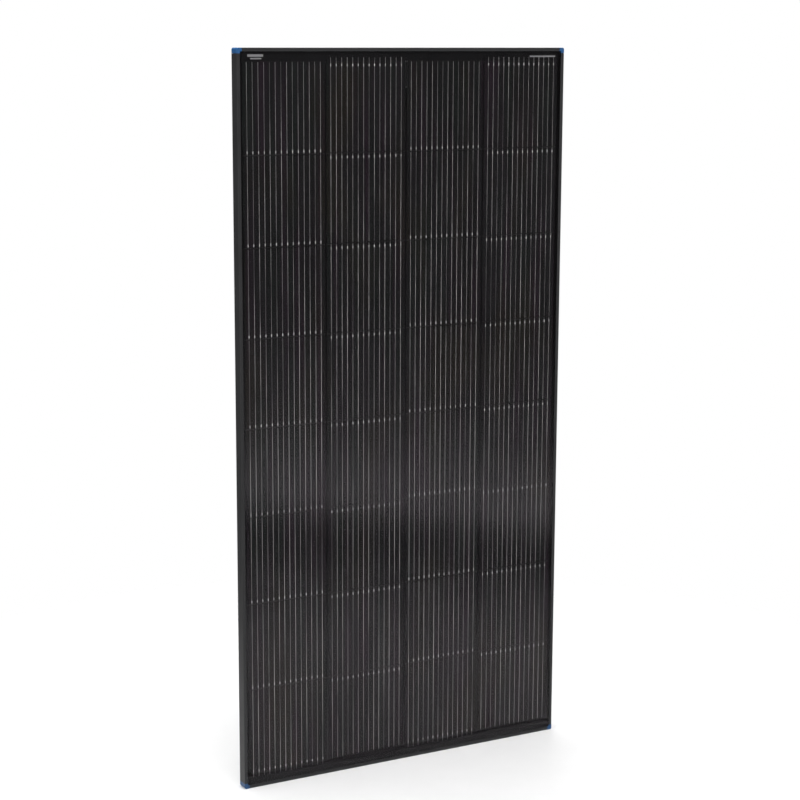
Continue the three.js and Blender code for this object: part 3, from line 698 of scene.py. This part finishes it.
def wire_over_cell(x, low, high, bend_low, tail):
    """A wire on one cell's front. It is pressed flat near the edge where it dives behind the
    next cell, or runs on by a tail to a ribbon."""
    front = CELL_FRONT - 0.03 * MM - WIRE_THICKNESS / 2
    flat_front = CELL_FRONT - 0.03 * MM - FLAT_THICKNESS / 2
    ease = 1.2 * MM
    hold = 0.5 * MM
    near = flat_offset(bend_low)
    far = near + FLAT_LENGTH
    end = tail if tail else 0.4 * MM
    stops = [
        (-end, front if tail else CELL_FRONT, WIRE_WIDTH, WIRE_THICKNESS),
        (0.3 * MM, front, WIRE_WIDTH, WIRE_THICKNESS),
        (near - ease, front, WIRE_WIDTH, WIRE_THICKNESS),
        (near, flat_front, FLAT_WIDTH, FLAT_THICKNESS),
        (near + hold, flat_front, FLAT_WIDTH, FLAT_THICKNESS),
        (far - hold, flat_front, FLAT_WIDTH, FLAT_THICKNESS),
        (far, flat_front, FLAT_WIDTH, FLAT_THICKNESS),
        (far + ease, front, WIRE_WIDTH, WIRE_THICKNESS),
        (far + ease + hold, front, WIRE_WIDTH, WIRE_THICKNESS),
    ]
    reach = high - low
    stops += [(reach - gap, front, WIRE_WIDTH, WIRE_THICKNESS) for gap in (END_GAP + hold, END_GAP)]
    rings = []
    for distance, y, width, thickness in stops:
        z = low + distance if bend_low else high - distance
        rings.append(wire_ring(x, y, z, width, thickness))
    return loft(rings)


def dress_wires():
    pitch = wire_pitch()
    for side, columns in (("left", (1, 2)), ("right", (3, 4))):
        parts = []
        pads = []
        for column in columns:
            bend_low = column % 2 == 1
            for row in range(1, ROWS + 1):
                low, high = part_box(f"cell_column_{column}_row_{row}")
                centre = (low.x + high.x) / 2
                last = row == (ROWS if bend_low else 1)
                for wire in range(WIRES_PER_CELL):
                    x = centre + (wire - (WIRES_PER_CELL - 1) / 2) * pitch
                    tail = TAIL_LENGTH if last else 0
                    parts.append(wire_over_cell(x, low.z, high.z, bend_low, tail))
                    pads.append(solder_pad(x, low.z, high.z, bend_low))
        wires = add_built(f"front_wires_{side}", parts, "panel", "wire")
        # The pads' pale colour is a painted glint at each bend.
        drops = add_built(f"solder_pads_{side}", pads, "panel", "solder_glint")
        for piece in (wires, drops):
            for polygon in piece.data.polygons:
                polygon.use_smooth = len(polygon.vertices) == 4
        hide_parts(f"string_wires_{side}")


def wire_pitch():
    """The wires' spacing, from the first and last wire of a pair of columns."""
    low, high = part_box("string_wires_left")
    return (high.x - low.x - COLUMN_PITCH) / (WIRES_PER_CELL - 1)


# The black strips lie just behind the glass, over the ribbons and as far as the frame's slot.
COVER_DEPTHS = (0.36 * MM, 0.42 * MM)
COVER_FROM_CELLS = 7.6 * MM
COVER_FROM_EDGE = 2.6 * MM
FILM_HALF_WIDTH = 1.2 * MM
FILM_DEPTHS = (-0.01 * MM, 0.05 * MM)
FILM_GAP = 0.3 * MM
FILM_HEIGHT = 7.2 * MM


def dress_ribbons():
    for place in ("left", "middle", "right"):
        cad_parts[f"bus_ribbon_{place}"].material_slots[0].material = MATERIALS["ribbon"]
    glass_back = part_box("glass")[1].y
    depth = [glass_back + behind for behind in COVER_DEPTHS]
    left = PANEL_LOW.x + COVER_FROM_EDGE
    right = PANEL_HIGH.x - COVER_FROM_EDGE
    for place, z0, z1 in (
        ("top", GRID_HIGH.z + COVER_FROM_CELLS, PANEL_HIGH.z - COVER_FROM_EDGE),
        ("bottom", PANEL_LOW.z + COVER_FROM_EDGE, GRID_LOW.z - COVER_FROM_CELLS),
    ):
        part = plate(left, right, *depth, z0, z1, 0.5 * MM)
        add_built(f"cover_strip_{place}", [part], "panel", "cover_strip")
    behind = [CELL_FRONT + offset for offset in FILM_DEPTHS]
    lead_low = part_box("bus_ribbon_middle")[0].z
    film_low = GRID_HIGH.z + FILM_GAP
    film_high = film_low + FILM_HEIGHT
    parts = [
        plate(GRID_LOW.x, GRID_HIGH.x, *behind, film_low, film_high, 0.5 * MM),
        plate(-FILM_HALF_WIDTH, FILM_HALF_WIDTH, *behind, lead_low, GRID_HIGH.z + 0.2 * MM, 0.3 * MM),
    ]
    add_built("lead_film", parts, "panel", "cover_strip")


MARK_DEPTHS = (0.33 * MM, 0.3 * MM)
# Each bar's sides in mm: x from the panel's middle, z from the cells' top.
BLANK_MARKS = {
    "left": ((-356.0, -322.0, 9.2, 14.0), (-350.0, -326.0, 4.4, 7.0)),
    "right": ((298.0, 362.0, 7.4, 10.4),),
}


def dress_marks():
    """Plain grey bars under the glass, in the top margin."""
    glass_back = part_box("glass")[1].y
    depth = [glass_back + behind for behind in MARK_DEPTHS]
    for side, bars in BLANK_MARKS.items():
        parts = [
            plate(x0 * MM, x1 * MM, *depth, GRID_HIGH.z + z0 * MM, GRID_HIGH.z + z1 * MM, 1.0 * MM)
            for x0, x1, z0, z1 in bars
        ]
        add_built(f"blank_mark_{side}", parts, "panel", "mark")


# ---- Junction box --------------------------------------------------------------------------


def dress_junction_box():
    refined("box_base", "junction_box_base", "panel", "box", 0.45 * MM, 3)
    refined("box_lid", "junction_box_lid", "junction_box_lid", "box", 0.45 * MM, 3)
    for side in ("left", "right"):
        nut = f"gland_nut_{side}"
        refined(f"cap_nut_{side}", nut, nut, "nut", 0.4 * MM, 3)
        refined(f"gland_sleeve_{side}", f"gland_seal_{side}", "panel", "rubber", 0.3 * MM)
        refined(f"diode_{side}", f"bypass_diode_{side}", "panel", "diode", 0.3 * MM)
    for place in ("left", "middle", "right"):
        node = f"terminal_{place}"
        refined(f"terminal_plate_{place}", node, "panel", "ribbon", 0.15 * MM)


BOX_HALF_WIDTH = 60 * MM
BOX_HALF_HEIGHT = 45 * MM
BOX_ROUNDING = 6 * MM
SPOUT_LENGTH = 11 * MM
LID_THICKNESS = 2 * MM
RIM_INSET = 2.6 * MM
GASKET_THICKNESS = 0.25 * MM


def box_middle():
    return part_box("junction_box_base")[0].z + SPOUT_LENGTH + BOX_HALF_HEIGHT


def box_loop(grow, depth, ripple=0.0):
    """The junction box's outline at one depth, moved outwards by grow and made a little uneven."""
    middle = box_middle()
    width = BOX_HALF_WIDTH + grow
    height = BOX_HALF_HEIGHT + grow
    outline = rounded_outline(-width, width, middle - height, middle + height, BOX_ROUNDING + grow, 9)
    points = []
    for k, (x, z) in enumerate(outline):
        swell = ripple * math.sin(2.3 * k)
        points.append((x + math.copysign(swell, x), depth, z + math.copysign(swell, z - middle)))
    return points


FIELD_HALF_WIDTH = 44 * MM
FIELD_HALF_HEIGHT = 30 * MM
RIB_NEAR = 49 * MM
RIB_FAR = 52 * MM
RIB_HALF_HEIGHT = 34 * MM
RELIEF_HEIGHT = 0.4 * MM
RELIEF_ROOT = 0.2 * MM
RIDGE_PITCH = 2.4 * MM
RIDGE_HALF_WIDTH = 0.6 * MM
RIDGE_LENGTH = 6 * MM
TAB_REACH = 3.4 * MM


def dress_lid():
    """A raised field, two ribs and a ridged finger tab on the lid's outside, and its gasket inside."""
    middle = box_middle()
    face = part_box("junction_box_lid")[1].y
    depth = (face - RELIEF_ROOT, face + RELIEF_HEIGHT)
    heights = (middle - FIELD_HALF_HEIGHT, middle + FIELD_HALF_HEIGHT)
    parts = [plate(-FIELD_HALF_WIDTH, FIELD_HALF_WIDTH, *depth, *heights, 4 * MM, 0.3 * MM)]
    heights = (middle - RIB_HALF_HEIGHT, middle + RIB_HALF_HEIGHT)
    for side in (-1, 1):
        across = sorted((side * RIB_NEAR, side * RIB_FAR))
        parts.append(plate(*across, *depth, *heights, 1.4 * MM, 0.3 * MM))
    low = middle - BOX_HALF_HEIGHT - TAB_REACH
    for ridge in range(-3, 4):
        x = ridge * RIDGE_PITCH
        across = (x - RIDGE_HALF_WIDTH, x + RIDGE_HALF_WIDTH)
        parts.append(plate(*across, *depth, low, low + RIDGE_LENGTH, 0.5 * MM, 0.25 * MM))
    add_built("lid_relief", parts, "junction_box_lid", "box")
    under = face - LID_THICKNESS
    outside = -RIM_INSET + GASKET_THICKNESS
    deep = under - 1.3 * MM
    near = under - 0.2 * MM
    rings = [
        box_loop(-RIM_INSET, deep),
        box_loop(outside - 0.1 * MM, deep),
        box_loop(outside, (deep + near) / 2),
        box_loop(outside - 0.1 * MM, near),
        box_loop(-RIM_INSET, near),
    ]
    add_built("lid_gasket", [hoop(rings)], "junction_box_lid", "rubber")


LABEL_LEFT = -210 * MM
LABEL_RIGHT = -100 * MM
LABEL_HALF_HEIGHT = 35 * MM
LABEL_MARGIN = 6 * MM
LABEL_COLUMN = 40 * MM
LABEL_ROWS = 5
RULE_WIDTH = 0.4 * MM


def dress_back():
    """The sealant squeezed out round the junction box, and a blank rating label beside it."""
    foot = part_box("junction_box_base")[0].y
    rings = [
        box_loop(0.05 * MM, foot),
        box_loop(2.3 * MM, foot, 0.35 * MM),
        box_loop(1.7 * MM, foot + 0.8 * MM, 0.3 * MM),
        box_loop(0.05 * MM, foot + 1.5 * MM),
    ]
    bead = add_built("box_bead", [hoop(rings)], "panel", "silicone")
    for polygon in bead.data.polygons:
        polygon.use_smooth = True
    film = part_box("backsheet")[1].y
    left = LABEL_LEFT
    right = LABEL_RIGHT
    low = box_middle() - LABEL_HALF_HEIGHT
    high = box_middle() + LABEL_HALF_HEIGHT
    label = plate(left, right, film + 0.01 * MM, film + 0.12 * MM, low, high, 3 * MM)
    add_built("blank_label", [label], "panel", "label")
    table_left = left + LABEL_MARGIN
    table_right = right - LABEL_MARGIN
    table_low = low + LABEL_MARGIN
    table_high = high - LABEL_MARGIN
    half = RULE_WIDTH / 2
    rules = []
    for row in range(LABEL_ROWS + 1):
        z = table_low + row * (table_high - table_low) / LABEL_ROWS
        rules.append((table_left, table_right, z - half, z + half))
    for x in (table_left, left + LABEL_COLUMN, table_right):
        rules.append((x - half, x + half, table_low, table_high))
    depth = (film + 0.11 * MM, film + 0.15 * MM)
    parts = [plate(x0, x1, *depth, z0, z1, 0.1 * MM) for x0, x1, z0, z1 in rules]
    add_built("label_rules", parts, "panel", "label_ink")


# ---- Whole scene ---------------------------------------------------------------------------

FLOOR_REACH = 1.6
FLOOR_STEPS = 64


def make_floor():
    vertices = [(0, 0, 0)]
    faces = []
    for k in range(FLOOR_STEPS):
        angle = 2 * math.pi * k / FLOOR_STEPS
        vertices.append((FLOOR_REACH * math.cos(angle), FLOOR_REACH * math.sin(angle), 0))
        faces.append((0, k + 1, (k + 1) % FLOOR_STEPS + 1))
    floor = bpy.data.objects.new("floor", mesh_of("floor", [(vertices, faces)]))
    floor.data.materials.append(stage_floor())
    bpy.context.scene.collection.objects.link(floor)


make_camera()
make_world()
make_lights()
make_floor()
dress_frame()
dress_laminate()
dress_cells()
dress_wires()
dress_ribbons()
dress_marks()
dress_junction_box()
dress_lid()
dress_back()

bpy.context.scene.view_settings.view_transform = "Standard"

bpy.context.view_layer.update()
